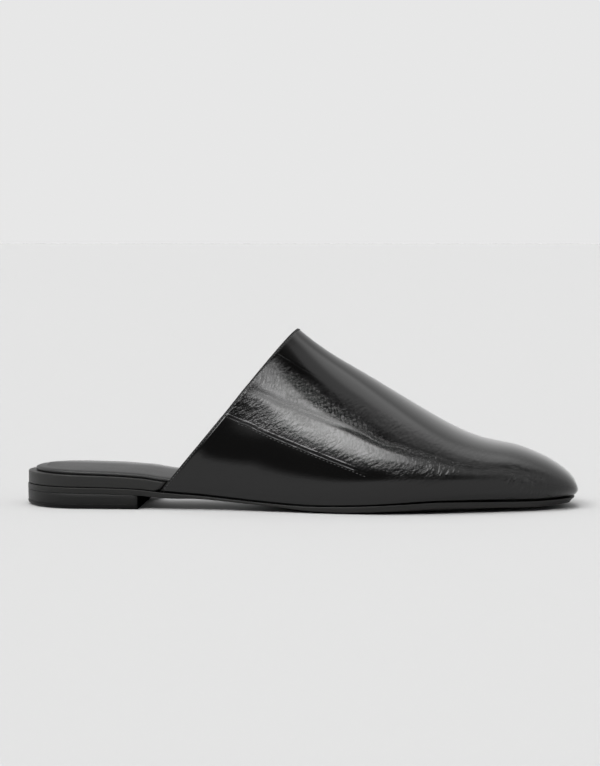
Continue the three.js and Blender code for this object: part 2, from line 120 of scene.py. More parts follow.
# Smooth curve with continuous curvature through a table
def smoothCurve(rows, source, target):
    xs, ys = rows[source], rows[target]
    count = len(xs)
    system = np.eye(count)
    change = np.zeros(count)
    for i in range(1, count - 1):
        system[i, i - 1] = (xs[i] - xs[i - 1]) / 6
        system[i, i] = (xs[i + 1] - xs[i - 1]) / 3
        system[i, i + 1] = (xs[i + 1] - xs[i]) / 6
        change[i] = (ys[i + 1] - ys[i]) / (xs[i + 1] - xs[i]) - (ys[i] - ys[i - 1]) / (xs[i] - xs[i - 1])
    bend = np.linalg.solve(system, change)

    def curve(x):
        x = np.asarray(x, float)
        i = np.clip(np.searchsorted(xs, x) - 1, 0, count - 2)
        width = xs[i + 1] - xs[i]
        a, b = (xs[i + 1] - x) / width, (x - xs[i]) / width
        return a * ys[i] + b * ys[i + 1] + ((a**3 - a) * bend[i] + (b**3 - b) * bend[i + 1]) * width**2 / 6

    return curve


# Curve that never overshoots its rows
def levelCurve(rows, source, target):
    xs, ys = rows[source], rows[target]
    slopes = np.zeros(len(xs))
    for i in range(1, len(xs) - 1):
        before = (ys[i] - ys[i - 1]) / (xs[i] - xs[i - 1])
        after = (ys[i + 1] - ys[i]) / (xs[i + 1] - xs[i])
        if before * after > 0:
            slopes[i] = 2 * before * after / (before + after)

    def curve(x):
        x = np.asarray(x, float)
        i = np.clip(np.searchsorted(xs, x) - 1, 0, len(xs) - 2)
        width = xs[i + 1] - xs[i]
        t = np.clip((x - xs[i]) / width, 0, 1)
        start = ys[i] * (1 + 2 * t) * (1 - t) ** 2 + slopes[i] * width * t * (1 - t) ** 2
        return start + ys[i + 1] * (3 - 2 * t) * t**2 - slopes[i + 1] * width * (1 - t) * t**2

    return curve


def mix(a, b, t):
    return a + (b - a) * t


def smoothStep(x, low, high):
    t = np.clip((np.asarray(x, float) - low) / (high - low), 0, 1)
    return t * t * (3 - 2 * t)


# Heights along the shoe, for a place x and its distance from the sole's edge
seatAt = levelCurve(soleRows, "at", "seat")
springAt = levelCurve(soleRows, "at", "spring")
liftAt = levelCurve(soleRows, "at", "lift")
skiveAt = levelCurve(soleRows, "at", "skive")
boardAt = levelCurve(boardRows, "at", "heel")
sockAt = levelCurve(sockRows, "at", "heel")


def shareAlong(x):
    return np.clip(np.asarray(x, float) / shoe["soleLength"], 0, 1)


# The underside that the outsole would have at its full thickness
def soleLine(x, inset):
    share = shareAlong(x)
    keel = shoe["heelSeatHeight"] * seatAt(share) + shoe["toeSpring"] * springAt(share)
    return keel + shoe["edgeLift"] * liftAt(share) * np.interp(inset, rollRows["inset"], rollRows["share"])


def soleUnderside(x, inset):
    return soleLine(x, inset) + shoe["waistSkive"] * skiveAt(shareAlong(x))


def soleTop(x, inset):
    return soleLine(x, inset) + shoe["outsoleThickness"]


def boardUnderside(x, inset):
    return soleTop(x, inset) + shoe["seatGap"]


def boardTop(x, inset):
    return boardUnderside(x, inset) + mix(
        shoe["foreBoardThickness"], shoe["heelPadThickness"], boardAt(shareAlong(x)))


traceSteps = 600


# One side of the sole's outline, from the back of the heel to the tip of the toe
def traceSide(column, side):
    halfWidth = smoothCurve(outlineRows, "at", column)
    share = (1 - np.cos(np.linspace(0, math.pi, traceSteps + 1))) / 2
    heel = np.minimum(share / shoe["heelCapShare"], 1)
    toe = np.minimum((1 - share) / shoe["toeCapShare"], 1)
    heelCap = (1 - (1 - heel) ** shoe["heelCapPower"]) ** (1 / shoe["heelCapPower"])
    toeCap = (1 - (1 - toe) ** shoe["toeCapPower"]) ** (1 / shoe["toeCapPower"])
    x = share * shoe["soleLength"]
    y = side * shoe["ballWidth"] * halfWidth(share) * heelCap * toeCap
    run = np.concatenate([[0], np.cumsum(np.hypot(np.diff(x), np.diff(y)))])
    dx, dy = np.empty_like(x), np.empty_like(y)
    dx[1:-1], dy[1:-1] = x[2:] - x[:-2], y[2:] - y[:-2]
    size = np.hypot(dx, dy)
    size[[0, -1]] = 1
    inX, inY = side * dy / size, -side * dx / size
    inX[0], inY[0], inX[-1], inY[-1] = 1, 0, -1, 0
    return {"x": x, "y": y, "run": run, "inX": inX, "inY": inY}


bothEdges = [traceSide("lateral", -1), traceSide("medial", 1)]


def edgePoint(edge, share, inset):
    run = share * edge["run"][-1]
    x, y, inX, inY = (np.interp(run, edge["run"], edge[key]) for key in ("x", "y", "inX", "inY"))
    size = np.hypot(inX, inY)
    inX, inY = inX / size, inY / size
    return x + inX * inset, y + inY * inset, inX, inY


def shareAtX(edge, x):
    return np.interp(x, edge["x"], edge["run"]) / edge["run"][-1]


def place(points):
    points = np.asarray(points, float)
    return (points - [shoe["heelLength"] / 2, 0, 0]) / 1000


# Outer face of the upper: u from collar to toe, v from the outer foot (-1) over the ridge to the inner (1)
ribCurves = {key: smoothCurve(ribRows, "foot", key) for key in ribRows if key != "foot"}
toeTipAt = shoe["soleLength"] - shoe["featherInset"]
toeTipHeight = soleTop(toeTipAt, shoe["featherInset"]) + shoe["seatGap"]
collarShares = [shareAtX(edge, shoe["collarFootAt"]) for edge in bothEdges]
featherLength = (1 - collarShares[0]) * bothEdges[0]["run"][-1]


def upperPoint(u, v):
    u, v = np.broadcast_arrays(np.asarray(u, float), np.asarray(v, float))
    footX, footY, inX, inY = (
        np.where(v < 0, a, b) for a, b in zip(
            *(edgePoint(edge, mix(start, 1, u), shoe["featherInset"])
              for edge, start in zip(bothEdges, collarShares))))
    footZ = soleTop(footX, shoe["featherInset"]) + shoe["seatGap"]
    ridgeX = mix(shoe["instepAt"], toeTipAt, ribCurves["along"](u))
    ridgeY = shoe["ballWidth"] * ribCurves["middle"](u)
    ridgeZ = mix(toeTipHeight, shoe["instepHeight"], ribCurves["height"](u))
    rise, lean = ribCurves["rise"](u), shoe["ballWidth"] * ribCurves["lean"](u)
    t = (1 - np.abs(v))[..., None]
    foot = np.stack([footX, footY, footZ], -1)
    shoulder = np.stack([mix(footX, ridgeX, rise) - inX * lean, footY - inY * lean,
                         mix(footZ, ridgeZ, rise)], -1)
    crown = np.stack([ridgeX, ridgeY + footY * ribCurves["crown"](u), ridgeZ], -1)
    ridge = np.stack([ridgeX, ridgeY, ridgeZ], -1)
    return ((1 - t) ** 3 * foot + 3 * (1 - t) ** 2 * t * shoulder
            + 3 * (1 - t) * t * t * crown + t**3 * ridge)


def collarStart(v):
    up = (1 - np.abs(v)) ** 2
    return -4 * up * (1 - up) * shoe["collarBow"] / featherLength


def upperNormal(u, v):
    step = 1e-4
    alongU = upperPoint(np.minimum(u + step, 1), v) - upperPoint(u - step, v)
    alongV = upperPoint(u, np.minimum(v + step, 1)) - upperPoint(u, np.maximum(v - step, -1))
    normal = np.cross(alongU, alongV)
    normal[..., 2] = np.where(np.abs(v) > 1 - 1e-9, 0, normal[..., 2])
    return normal / np.maximum(np.linalg.norm(normal, axis=-1, keepdims=True), 1e-12)


# Meshes from grids

def finishMesh(bm, name, smooth=True, weld=2e-6):
    bmesh.ops.remove_doubles(bm, verts=bm.verts, dist=weld)
    bmesh.ops.dissolve_degenerate(bm, edges=bm.edges, dist=weld)
    bmesh.ops.recalc_face_normals(bm, faces=bm.faces)
    openEdges = sum(len(edge.link_faces) != 2 for edge in bm.edges)
    triangles = sum(len(face.verts) - 2 for face in bm.faces)
    mesh = bpy.data.meshes.new(name)
    bm.to_mesh(mesh)
    bm.free()
    for polygon in mesh.polygons:
        polygon.use_smooth = smooth
    obj = bpy.data.objects.new(name, mesh)
    bpy.context.scene.collection.objects.link(obj)
    print("piece", name, "triangles", triangles, "open edges", openEdges)
    return obj


# A piece from rows of points: the grid is folded into a tube when its last column repeats the first
def gridPiece(name, points, uvs=None):
    rows, columns = points.shape[:2]
    bm = bmesh.new()
    bmesh.ops.create_grid(bm, x_segments=columns - 1, y_segments=rows - 1, size=1)
    bm.verts.ensure_lookup_table()
    cells = []
    for vert in bm.verts:
        i = round((vert.co.y + 1) / 2 * (rows - 1))
        j = round((vert.co.x + 1) / 2 * (columns - 1))
        cells.append((i, j))
    placed = place(points)
    if uvs is not None:
        layer = bm.loops.layers.uv.new("shoe")
        for face in bm.faces:
            for loop in face.loops:
                loop[layer].uv = uvs[cells[loop.vert.index]]
    for vert, cell in zip(bm.verts, cells):
        vert.co = placed[cell]
    return finishMesh(bm, name)


# Plates of the sole. Their stations crowd a little toward both ends.
endCrowding = 0.5
stationTable = np.linspace(0, 1, 2001)


def stationToShare(t):
    return mix(t, (1 - np.cos(np.pi * t)) / 2, endCrowding)


def shareToStation(share):
    return np.interp(share, stationToShare(stationTable), stationTable)


# A ring round the shoe. Each stretch runs from one x to another with its own inset and number of steps.
def ring(stretches, heightAt):
    sides = []
    for edge in bothEdges:
        points = []
        for start, end, steps, inset in stretches:
            first = shareToStation(0 if start <= 0 else shareAtX(edge, start))
            last = shareToStation(1 if end >= shoe["soleLength"] else shareAtX(edge, end))
            share = stationToShare(np.linspace(first, last, steps + 1))
            distance = np.asarray(inset(edgePoint(edge, share, 0)[0]), float)
            x, y, _, _ = edgePoint(edge, share, distance)
            if end < shoe["soleLength"]:
                x[-1] = end
            points.append(np.stack([x, y, np.broadcast_to(heightAt(x, distance), x.shape)], -1))
        sides.append(np.concatenate(points))
    return sides


def innerInset(nominal, edgeInset):
    def inset(x):
        share = shareAlong(x)
        tip = np.minimum(np.minimum(share, 1 - share) / shoe["tipShare"], 1)
        tapered = nominal * mix(shoe["tipTaper"], 1, tip)
        return np.maximum(tapered, edgeInset(x) + nominal * (1 - shoe["tipTaper"]) / 2)
    return inset


# A crown domes the top of a plate, less where it is narrower than crownWidth
crownWidth = 24
crownShares = (0.4, 0.95)  # shares of the plate's height between which the doming sets in


# Rings from the underside round the side to the top, joined across the middle by a few columns
def plate(name, rings, across=6, breast=None, crown=0):
    lateral = [sides[0] for sides in rings]
    medial = [sides[1] for sides in rings]
    steps = np.linspace(0, 1, across + 2)[1:-1]
    topBridge = [mix(lateral[-1], medial[-1], t) for t in steps]
    underBridge = [mix(medial[0], lateral[0], t) for t in steps]
    columns = lateral + topBridge + medial[::-1] + underBridge + [lateral[0]]
    points = np.stack(columns, 1)
    if crown:
        y, z = points[..., 1], points[..., 2]
        low, high = y.min(1, keepdims=True), y.max(1, keepdims=True)
        aside = (2 * y - low - high) / np.maximum(high - low, 1e-6)
        floorZ, topZ = z.min(1, keepdims=True), z.max(1, keepdims=True)
        raised = crown * smoothStep(high - low, 0, crownWidth) * (1 - aside**2)
        points[..., 2] += raised * smoothStep((z - floorZ) / (topZ - floorZ), *crownShares)
    if breast is not None:
        flat = points[-1:].copy()
        flat[..., 1] = 0
        edge = points[-1:].copy()
        edge[..., 1] *= breast
        points = np.concatenate([points, edge, flat])
    return gridPiece(name, points)


# Shader graphs

class Field:
    def __init__(self, graph, socket):
        self.graph = graph
        self.socket = socket

    def apply(self, operation, *others):
        return self.graph.node("ShaderNodeMath", {"operation": operation}, self, *others)

    def __add__(self, other):
        return self.apply("ADD", other)

    def __radd__(self, other):
        return self.apply("ADD", other)

    def __sub__(self, other):
        return self.apply("SUBTRACT", other)

    def __rsub__(self, other):
        return self.graph.constant(other).apply("SUBTRACT", self)

    def __mul__(self, other):
        return self.apply("MULTIPLY", other)

    def __rmul__(self, other):
        return self.apply("MULTIPLY", other)

    def __neg__(self):
        return self.apply("MULTIPLY", -1.0)

    def __abs__(self):
        return self.apply("ABSOLUTE")

    # Rises softly from 0 at the low value to 1 at the high one
    def step(self, low, high):
        settings = {"interpolation_type": "SMOOTHSTEP"}
        return self.graph.node("ShaderNodeMapRange", settings, self, low, high)

    # 1 on a band of that half width round the centre, fading out over the soft distance
    def band(self, centre, half, soft):
        return 1 - abs(self - centre).step(half, half + soft)

    def toward(self, other, amount):
        return self + (other - self) * amount


class Graph:
    def __init__(self, tree):
        self.tree = tree
        tree.nodes.clear()

    # Any node: its settings are made first, then its inputs in order or by name
    def node(self, kind, settings, *inputs, output=0, **named):
        made = self.tree.nodes.new(kind)
        for key, value in settings.items():
            setattr(made, key, value)
        for key, value in [*enumerate(inputs), *named.items()]:
            if isinstance(value, Field):
                self.tree.links.new(value.socket, made.inputs[key])
            else:
                made.inputs[key].default_value = value
        return Field(self, made.outputs[output])

    def constant(self, value):
        return self.node("ShaderNodeMath", {"operation": "ADD"}, float(value), 0.0)

    def parts(self, vector):
        split = self.tree.nodes.new("ShaderNodeSeparateXYZ")
        self.tree.links.new(vector.socket, split.inputs[0])
        return [Field(self, socket) for socket in split.outputs]

    def vector(self, x, y, z):
        return self.node("ShaderNodeCombineXYZ", {}, x, y, z)

    def noise(self, vector, scale, detail=2.0, roughness=0.5):
        return self.node("ShaderNodeTexNoise", {"noise_dimensions": "3D"}, Vector=vector, Scale=scale,
                         Detail=detail, Roughness=roughness)


def makeMaterial(name, look, build):
    material = bpy.data.materials.new(name)
    material.use_nodes = True
    graph = Graph(material.node_tree)
    shader = graph.tree.nodes.new("ShaderNodeBsdfPrincipled")
    output = graph.tree.nodes.new("ShaderNodeOutputMaterial")
    graph.tree.links.new(shader.outputs[0], output.inputs["Surface"])
    shader.inputs["Base Color"].default_value = (*look["colour"], 1)
    shader.inputs["Roughness"].default_value = look["roughness"]
    shader.inputs["Specular IOR Level"].default_value = look["specular"]
    shader.inputs["Coat Weight"].default_value = look.get("coat", 0)
    shader.inputs["Coat Roughness"].default_value = look.get("coatRoughness", 0.1)
    for key, field in build(graph).items():
        if key == "height":  # in millimetres
            key = "Normal"
            field = graph.node("ShaderNodeBump", {}, Strength=1.0, Distance=0.001, Height=field)
        graph.tree.links.new(field.socket, shader.inputs[key])
    return material


def unvaried(graph):
    return {}


def dress(obj, material, node=None):
    obj.data.materials.append(material)
    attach(obj, "root")
    if node:
        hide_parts(node)


# Smooth dark leather or rubber: fine grain on broad unevenness, with lengths in millimetres
grainLook = {
    "broadScale": 60.0, "broadDepth": 0.25, "layerDepth": 0.06, "layerStretch": 0.05,
    "roughness": 0.33, "grainRoughness": 0.15, "broadRoughness": 0.1,
}


# A layer size adds the fine stripes of stacked leather. Polish makes the inner side of the shoe glossier.
def plainLeather(grainSize, grainDepth, layer=0.0, polish=0.0, polishFrom=-0.004, polishTo=0.018):
    def build(graph):
        coordinates = graph.node("ShaderNodeTexCoord", {}, output=3)
        x, y, z = graph.parts(coordinates)
        grain = graph.noise(coordinates, 1000 / grainSize, 3.0)
        broad = graph.noise(coordinates, grainLook["broadScale"], 2.0)
        height = (grain - 0.5) * grainDepth + (broad - 0.5) * grainLook["broadDepth"]
        if layer:
            stretch = grainLook["layerStretch"]
            stripes = graph.noise(graph.vector(x * stretch, y * stretch, z), 1000 / layer, 1.0)
            height = height + (stripes - 0.5) * grainLook["layerDepth"]
        roughness = grain * grainLook["grainRoughness"] + broad * grainLook["broadRoughness"]
        roughness = roughness + grainLook["roughness"]
        if polish:
            roughness = roughness - y.step(polishFrom, polishTo) * polish
        return {"height": height, "Roughness": roughness}
    return build


# Outsole. The toe end is trimmed back under the upper, most of all at its lower edge.
outsoleLook = {
    "colour": (0.010, 0.010, 0.0095), "roughness": 0.45, "specular": 0.28, "grainSize": 0.5,
    "grainDepth": 0.03, "steps": 170, "toeBevel": 2.0, "bevelFrom": 236, "bevelTo": 257,
}
# Distance from the edge, share of the height from the underside to the top, and extra height
outsoleSide = [
    (3.4, 0, 0), (1.6, 0, 0), (0.35, 0, 0), (0.1, 0, 0.06), (0, 0, 0.3), (0, 0.45, 0), (0, 0.8, 0),
    (0.03, 1, -0.18), (0.12, 1, -0.05), (0.35, 1, 0), (3.4, 1, 0),
]
innerRings = (12, 7)  # distances from the edge of the two rings that fill a plate


def wholeLength(inset):
    return [(0, shoe["soleLength"], outsoleLook["steps"], inset)]


def onEdge(x):
    return 0 * x


def toeTrim(x, level):
    bevel = outsoleLook["toeBevel"] * smoothStep(x, outsoleLook["bevelFrom"], outsoleLook["bevelTo"])
    return bevel * min(max(1.3 - 1.6 * level, 0), 1)


def outsoleSideRing(distance, level, extra):
    def inset(x):
        return distance + toeTrim(x, level)

    def height(x, away):
        return mix(soleUnderside(x, away), soleTop(x, away), level) + extra

    return ring(wholeLength(inset), height)


outsoleRings = [ring(wholeLength(innerInset(d, onEdge)), soleUnderside) for d in innerRings]
outsoleRings += [outsoleSideRing(*row) for row in outsoleSide]
outsoleRings += [ring(wholeLength(innerInset(d, onEdge)), soleTop) for d in innerRings[::-1]]
outsole = plate("outsoleBody", outsoleRings)
outsoleGrain = plainLeather(outsoleLook["grainSize"], outsoleLook["grainDepth"])
dress(outsole, makeMaterial("outsoleLeather", outsoleLook, outsoleGrain), "outsole")

# Heel block of stacked leather, with a straight breast
heelLook = {
    "colour": (0.007, 0.007, 0.0068), "roughness": 0.5, "specular": 0.24, "grainSize": 0.5,
    "grainDepth": 0.02, "layer": 1.2, "steps": 60, "gap": 0.04, "blockInset": 0.12,
}
blockFootRows = [(12, 0), (1.2, 0), (heelLook["blockInset"] + 0.06, 0), (heelLook["blockInset"], 0.08)]
blockTopRows = [(0.04, 0.1), (0.12, 0), (1.2, 0), (12, 0)]


def heelStretch(inset):
    return [(0, shoe["heelLength"], heelLook["steps"], lambda x: inset + 0 * x)]


def blockFoot(up):
    return lambda x, inset: shoe["liftThickness"] + heelLook["gap"] + up + 0 * x


def blockTop(down):
    return lambda x, inset: soleUnderside(x, inset) - heelLook["gap"] - down


blockRings = [ring(heelStretch(d), blockFoot(up)) for d, up in blockFootRows]
blockRings += [ring(heelStretch(d), blockTop(down)) for d, down in blockTopRows]
block = plate("heelBlock", blockRings, breast=0.5)
blockGrain = plainLeather(heelLook["grainSize"], heelLook["grainDepth"], heelLook["layer"])
dress(block, makeMaterial("heelLeather", heelLook, blockGrain), "heel_block")

# Heel lift, rounded at its lower edge
liftLook = {
    "colour": (0.004, 0.004, 0.004), "roughness": 0.6, "specular": 0.15, "grainSize": 0.7,
    "grainDepth": 0.03, "rounding": 2.0,
}
# Extra distance from the edge, share of the rounding, and share of the thickness
liftSide = [
    (10, 1, 0), (0, 1, 0), (0, 0.72, 0.05), (0, 0.45, 0.2), (0, 0.26, 0.35), (0, 0.12, 0.5),
    (0, 0.03, 0.68), (0, 0, 0.8), (0, 0, 0.97), (0.06, 0, 1), (12, 0, 1),
]


def liftRing(extra, rounded, up):
    inset = rounded * liftLook["rounding"] + extra
    return ring(heelStretch(inset), lambda x, away: up * shoe["liftThickness"] + 0 * x)


lift = plate("heelLift", [liftRing(*row) for row in liftSide], breast=0.5)
liftGrain = plainLeather(liftLook["grainSize"], liftLook["grainDepth"])
dress(lift, makeMaterial("liftRubber", liftLook, liftGrain), "heel_lift")

# The breast of the heel gets painted shade: a darker, fully matt colour that stands in for the shade under
# the arch
breastShadeLook = {"colour": (0.003, 0.003, 0.003), "roughness": 1.0, "specular": 0.0, "facing": 0.7}
breastShadeMaterial = makeMaterial("breastPaintedShade", breastShadeLook, unvaried)
# Faces of the block and lift that face the toe take the painted shade
for piece in (block, lift):
    piece.data.materials.append(breastShadeMaterial)
    for polygon in piece.data.polygons:
        polygon.material_index = int(polygon.normal.x > breastShadeLook["facing"])

# Insole board: its wrapped edge shows as a rim round the heel, and steps in where the upper covers it
rimLook = {
    "colour": (0.012, 0.012, 0.0115), "roughness": 0.45, "specular": 0.32, "grainSize": 0.6,
    "grainDepth": 0.03, "inset": 0.3, "rounding": 0.45, "undercut": 1.5, "undercutHeight": 1.5,
    "rimSteps": 70, "coveredSteps": 100,
}
# Inward and up in millimetres, then inward and down as shares of the rounding
rimFoot = [(0.6, 0), (0.1, 0.06), (0, 0.3), (0, 0.7), (0, 1.1), (0, 1.6)]
rimTop = [(0, 1), (0.08, 0.62), (0.29, 0.29), (0.62, 0.08), (1, 0)]
coveredInset = shoe["featherInset"] + shoe["wallThickness"] + shoe["sideGap"]
collarFootHeight = float(soleTop(shoe["collarFootAt"], shoe["featherInset"]))
collarSlant = (shoe["instepAt"] - shoe["collarFootAt"]) / (shoe["instepHeight"] - collarFootHeight)
underHeight = float(boardUnderside(shoe["collarFootAt"], 0))
topHeight = float(boardTop(shoe["collarFootAt"], 0))


def covered(x):
    return coveredInset + 0 * x


# The rim ends along the slant of the collar, and is undercut at its foot
def boardStretches(rimInset, height, coveredInsetAt):
    end = shoe["collarFootAt"] - shoe["rimEndGap"] - shoe["rimEndStep"]
    above = height - collarFootHeight - shoe["seatGap"]
    end += above * collarSlant - rimLook["undercut"] * (1 - smoothStep(above, 0, rimLook["undercutHeight"]))
    return [(0, end, rimLook["rimSteps"], rimInset),
            (end + shoe["rimEndStep"], shoe["soleLength"], rimLook["coveredSteps"], coveredInsetAt)]


def rimInset(inward):
    return lambda x: rimLook["inset"] + inward + 0 * x


def rimFootRing(inward, up):
    return ring(boardStretches(rimInset(inward), underHeight + up, covered),
                lambda x, inset: boardUnderside(x, inset) + up)


def rimTopRing(inward, down):
    drop = down * rimLook["rounding"]
    return ring(boardStretches(rimInset(inward * rimLook["rounding"]), topHeight - drop, covered),
                lambda x, inset: boardTop(x, inset) - drop)


def boardInnerRing(distance, height, heightAt):
    inset = innerInset(distance, covered)
    return ring(boardStretches(inset, height, inset), heightAt)


boardRings = [boardInnerRing(d, underHeight, boardUnderside) for d in innerRings]
boardRings += [rimFootRing(*row) for row in rimFoot]
boardRings += [rimTopRing(*row) for row in rimTop]
boardRings += [boardInnerRing(d, topHeight, boardTop) for d in innerRings[::-1]]
board = plate("insoleBoard", boardRings)
rimGrain = plainLeather(rimLook["grainSize"], rimLook["grainDepth"])
dress(board, makeMaterial("rimLeather", rimLook, rimGrain), "insole")

# Sock lining, a thin pad with a rounded edge and a domed top
sockLook = {
    "colour": (0.020, 0.020, 0.020), "roughness": 0.3, "specular": 0.35, "grainSize": 0.8,
    "grainDepth": 0.03, "polish": 0.26, "heelInset": 3.9, "waistInset": 1.9, "crown": 1.15, "across": 20,
}
# Height and distance from the edge, as shares of sockThickness
sockSide = [(0, 0.15), (0.15, 0.03), (0.4, 0), (0.62, 0.06), (0.78, 0.2), (0.9, 0.42), (0.97, 0.68), (1, 1)]
sockFootInset = coveredInset + shoe["seatGap"]


def sockEdge(x, inward=0):
    hidden = smoothStep(shareAlong(x), shareAlong(shoe["collarFootAt"]), shareAlong(shoe["instepAt"]))
    shown = mix(sockLook["waistInset"], sockLook["heelInset"], sockAt(shareAlong(x)))
    return mix(shown, sockFootInset, hidden) + inward * shoe["sockThickness"]


def sockHeight(up):
    return lambda x, inset: boardTop(x, inset) + shoe["seatGap"] + up * shoe["sockThickness"]


def sockInnerRing(distance, up):
    return ring(wholeLength(innerInset(distance, lambda x: sockEdge(x, 1))), sockHeight(up))


def sockSideRing(up, inward):
    return ring(wholeLength(lambda x: sockEdge(x, inward)), sockHeight(up))


sockRings = [sockInnerRing(d, 0) for d in innerRings]
sockRings += [sockSideRing(*row) for row in sockSide]
sockRings += [sockInnerRing(d, 1) for d in innerRings[::-1]]
sock = plate("sockPad", sockRings, across=sockLook["across"], crown=sockLook["crown"])
sockGrain = plainLeather(sockLook["grainSize"], sockLook["grainDepth"], polish=sockLook["polish"])
dress(sock, makeMaterial("sockLeather", sockLook, sockGrain), "sock")
print("sole pieces made")

# Vamp of glossy leather strips that run from the collar to the toe, side by side.
# A strip coordinate counts from the ridge, and has the seams and a strip's middle at fixed values.
vampLook = {
    "colour": (0.0011, 0.00105, 0.0010), "roughness": 0.3, "specular": 0.3,
    "coat": 0.4, "coatRoughness": 0.06, "rows": 170, "columns": 190, "toeCrowding": 0.4, "leather": 1.0,
    "upperSeam": 22.0, "stripMiddle": 44.0, "lowerSeam": 64.0, "stitchLine": 1.0,
    "troughDepth": 0.09, "troughWidth": 1.8, "swell": 0.05,
    "collarDip": 1.0, "dipStarts": (48, 63), "dipEnds": (66, 98), "dipFades": (3, 24),
}
# Girth from the ridge of each line of the strips, at a length along the ridge
stripRows = table("along upperSeam stripMiddle lowerSeam", """
0 24.7 45.8 63.8
12 24.6 45.7 62.0
30 26.2 45.3 62.9
45 26.6 46.6 64.1
67 26.4 49.0 65.4
90 24.5 45.2 65.0
106 21.0 41.0 60.0
126 17.0 34.0 51.0
160 12.0 28.0 44.0
""")
stripLines = ("upperSeam", "stripMiddle", "lowerSeam")
girthRows, girthColumns = 80, 160


# Girth from the ridge over a grid of the upper, and lengths along the ridge
def girthTable():
    us = np.linspace(-0.02, 1, girthRows + 1)
    vs = np.linspace(-1, 1, girthColumns + 1)
    points = upperPoint(us[:, None], vs[None, :])
    steps = np.linalg.norm(np.diff(points, axis=1), axis=-1)
    run = np.concatenate([np.zeros((girthRows + 1, 1)), np.cumsum(steps, axis=1)], 1)
    middle = girthColumns // 2
    run -= run[:, middle:middle + 1]
    ridge = upperPoint(us, 0 * us)
    along = np.concatenate([[0], np.cumsum(np.linalg.norm(np.diff(ridge, axis=0), axis=1))])
    return us, vs, run, along


girthU, girthV, girthRun, ridgeAlong = girthTable()


def girthAt(u, v):
    row = np.clip((u - girthU[0]) / (girthU[1] - girthU[0]), 0, girthRows - 1e-6)
    column = np.clip((v + 1) * girthColumns / 2, 0, girthColumns - 1e-6)
    a, b = row.astype(int), column.astype(int)
    s, t = row - a, column - b
    low = mix(girthRun[a, b], girthRun[a, b + 1], t)
    high = mix(girthRun[a + 1, b], girthRun[a + 1, b + 1], t)
    return mix(low, high, s)


# Girth turned into the strips' own coordinate, in which their lines are straight
def toStrip(girth, along):
    girth, along = np.broadcast_arrays(girth, along)
    side = np.abs(girth)
    real, straight = np.zeros(side.shape), 0.0
    strip = np.zeros(side.shape)
    for name in stripLines:
        line = np.interp(along, stripRows["along"], stripRows[name])
        share = (side - real) / (line - real)
        strip = np.where(side >= real, straight + share * (vampLook[name] - straight), strip)
        real, straight = line, vampLook[name]
    strip = np.where(side >= real, straight + side - real, strip)
    return np.sign(girth) * strip


def girthToV(u, distance):
    i = min(max(int((u - girthU[0]) / (girthU[1] - girthU[0])), 0), girthRows - 1)
    t = (u - girthU[i]) / (girthU[i + 1] - girthU[i])
    return float(np.interp(distance, mix(girthRun[i], girthRun[i + 1], t), girthV))


def vampGrid(rows, columns):
    t = np.linspace(0, 1, rows + 1)
    share = mix(t, np.sin(np.pi * t / 2), vampLook["toeCrowding"])[:, None]
    v = np.linspace(-1, 1, columns + 1)[None, :]
    return mix(collarStart(v), 1, share), np.broadcast_to(v, (rows + 1, columns + 1))


# Broad relief in millimetres: a wandering trough down the middle of a strip, and a swell towards the seams
def vampRelief(strip, along):
    side = np.abs(strip)
    wave = 0.6 * np.sin(along / 5.3) + 0.4 * np.sin(along / 3.1 + 1.7)
    trough = np.exp(-((side - vampLook["stripMiddle"] - 0.8 * wave) / vampLook["troughWidth"]) ** 2)
    stripShare = (side - vampLook["upperSeam"]) / (vampLook["stripMiddle"] - vampLook["upperSeam"])
    swell = vampLook["swell"] * np.cos(stripShare * math.pi) - vampLook["swell"]
    return swell - vampLook["troughDepth"] * trough


# Both layers dip a little beside the collar's foot, where the topstitching draws them in
def collarDip(strip, along):
    side = np.abs(strip)
    across = smoothStep(side, *vampLook["dipStarts"]) * (1 - smoothStep(side, *vampLook["dipEnds"]))
    return -vampLook["collarDip"] * across * (1 - smoothStep(along, *vampLook["dipFades"]))


uvSpan = 200  # millimetres


# A layer of the upper with a rounded collar edge. Its UV map holds the length along the ridge and the strip.
def shell(name, rows, columns, outside, thickness, shrink=0, relief=None):
    u, v = vampGrid(rows, columns)
    u = mix(u, 1, shrink)
    outer = upperPoint(u, v)
    normal = upperNormal(u, v)
    normal[-1] = [1, 0, 0]
    along = np.interp(u, girthU, ridgeAlong) - np.interp(u[0], girthU, ridgeAlong)
    strip = toStrip(girthAt(u, v), along)
    raised = 0 * strip
    if relief:
        row = np.arange(rows + 1)[:, None]
        fade = smoothStep(row, 0, 4) * smoothStep(rows - row, 2, 20) * smoothStep(1 - np.abs(v), 0.01, 0.08)
        raised = relief(strip, along) * fade
    dip = collarDip(strip, along)
    face = outer + normal * ((outside + dip + raised)[..., None])
    back = outer + normal * ((outside + dip - thickness)[..., None])
    radius = thickness / 2
    alongCollar = outer[0] - outer[1]
    alongCollar /= np.linalg.norm(alongCollar, axis=1, keepdims=True)
    caps = []
    for angle in (90, 60, 30):
        away = math.sin(math.radians(angle)) * radius
        half = math.cos(math.radians(angle)) * radius
        middle = (face[0] + back[0]) / 2 + alongCollar * (away - radius)
        caps.append((middle + normal[0] * half, middle - normal[0] * half))
    outerRows = np.concatenate([np.stack([cap[0] for cap in caps]), face[1:]])
    innerRows = np.concatenate([np.stack([cap[1] for cap in caps]), back[1:]])
    points = np.concatenate([outerRows, innerRows[:, ::-1], outerRows[:, :1]], 1)
    strips = np.concatenate([np.repeat(strip[:1], 3, 0), strip[1:]])
    alongs = np.concatenate([np.stack([along[0] - 0.6, along[0] - 0.4, along[0] - 0.1]), along[1:]])
    uvOuter = np.stack([alongs / uvSpan, strips / uvSpan + 0.5], -1)
    uvs = np.concatenate([uvOuter, uvOuter[:, ::-1], uvOuter[:, :1]], 1)
    return gridPiece(name, points, uvs)


vamp = shell("vampLeather", vampLook["rows"], vampLook["columns"], 0.0, vampLook["leather"],
             relief=vampRelief)

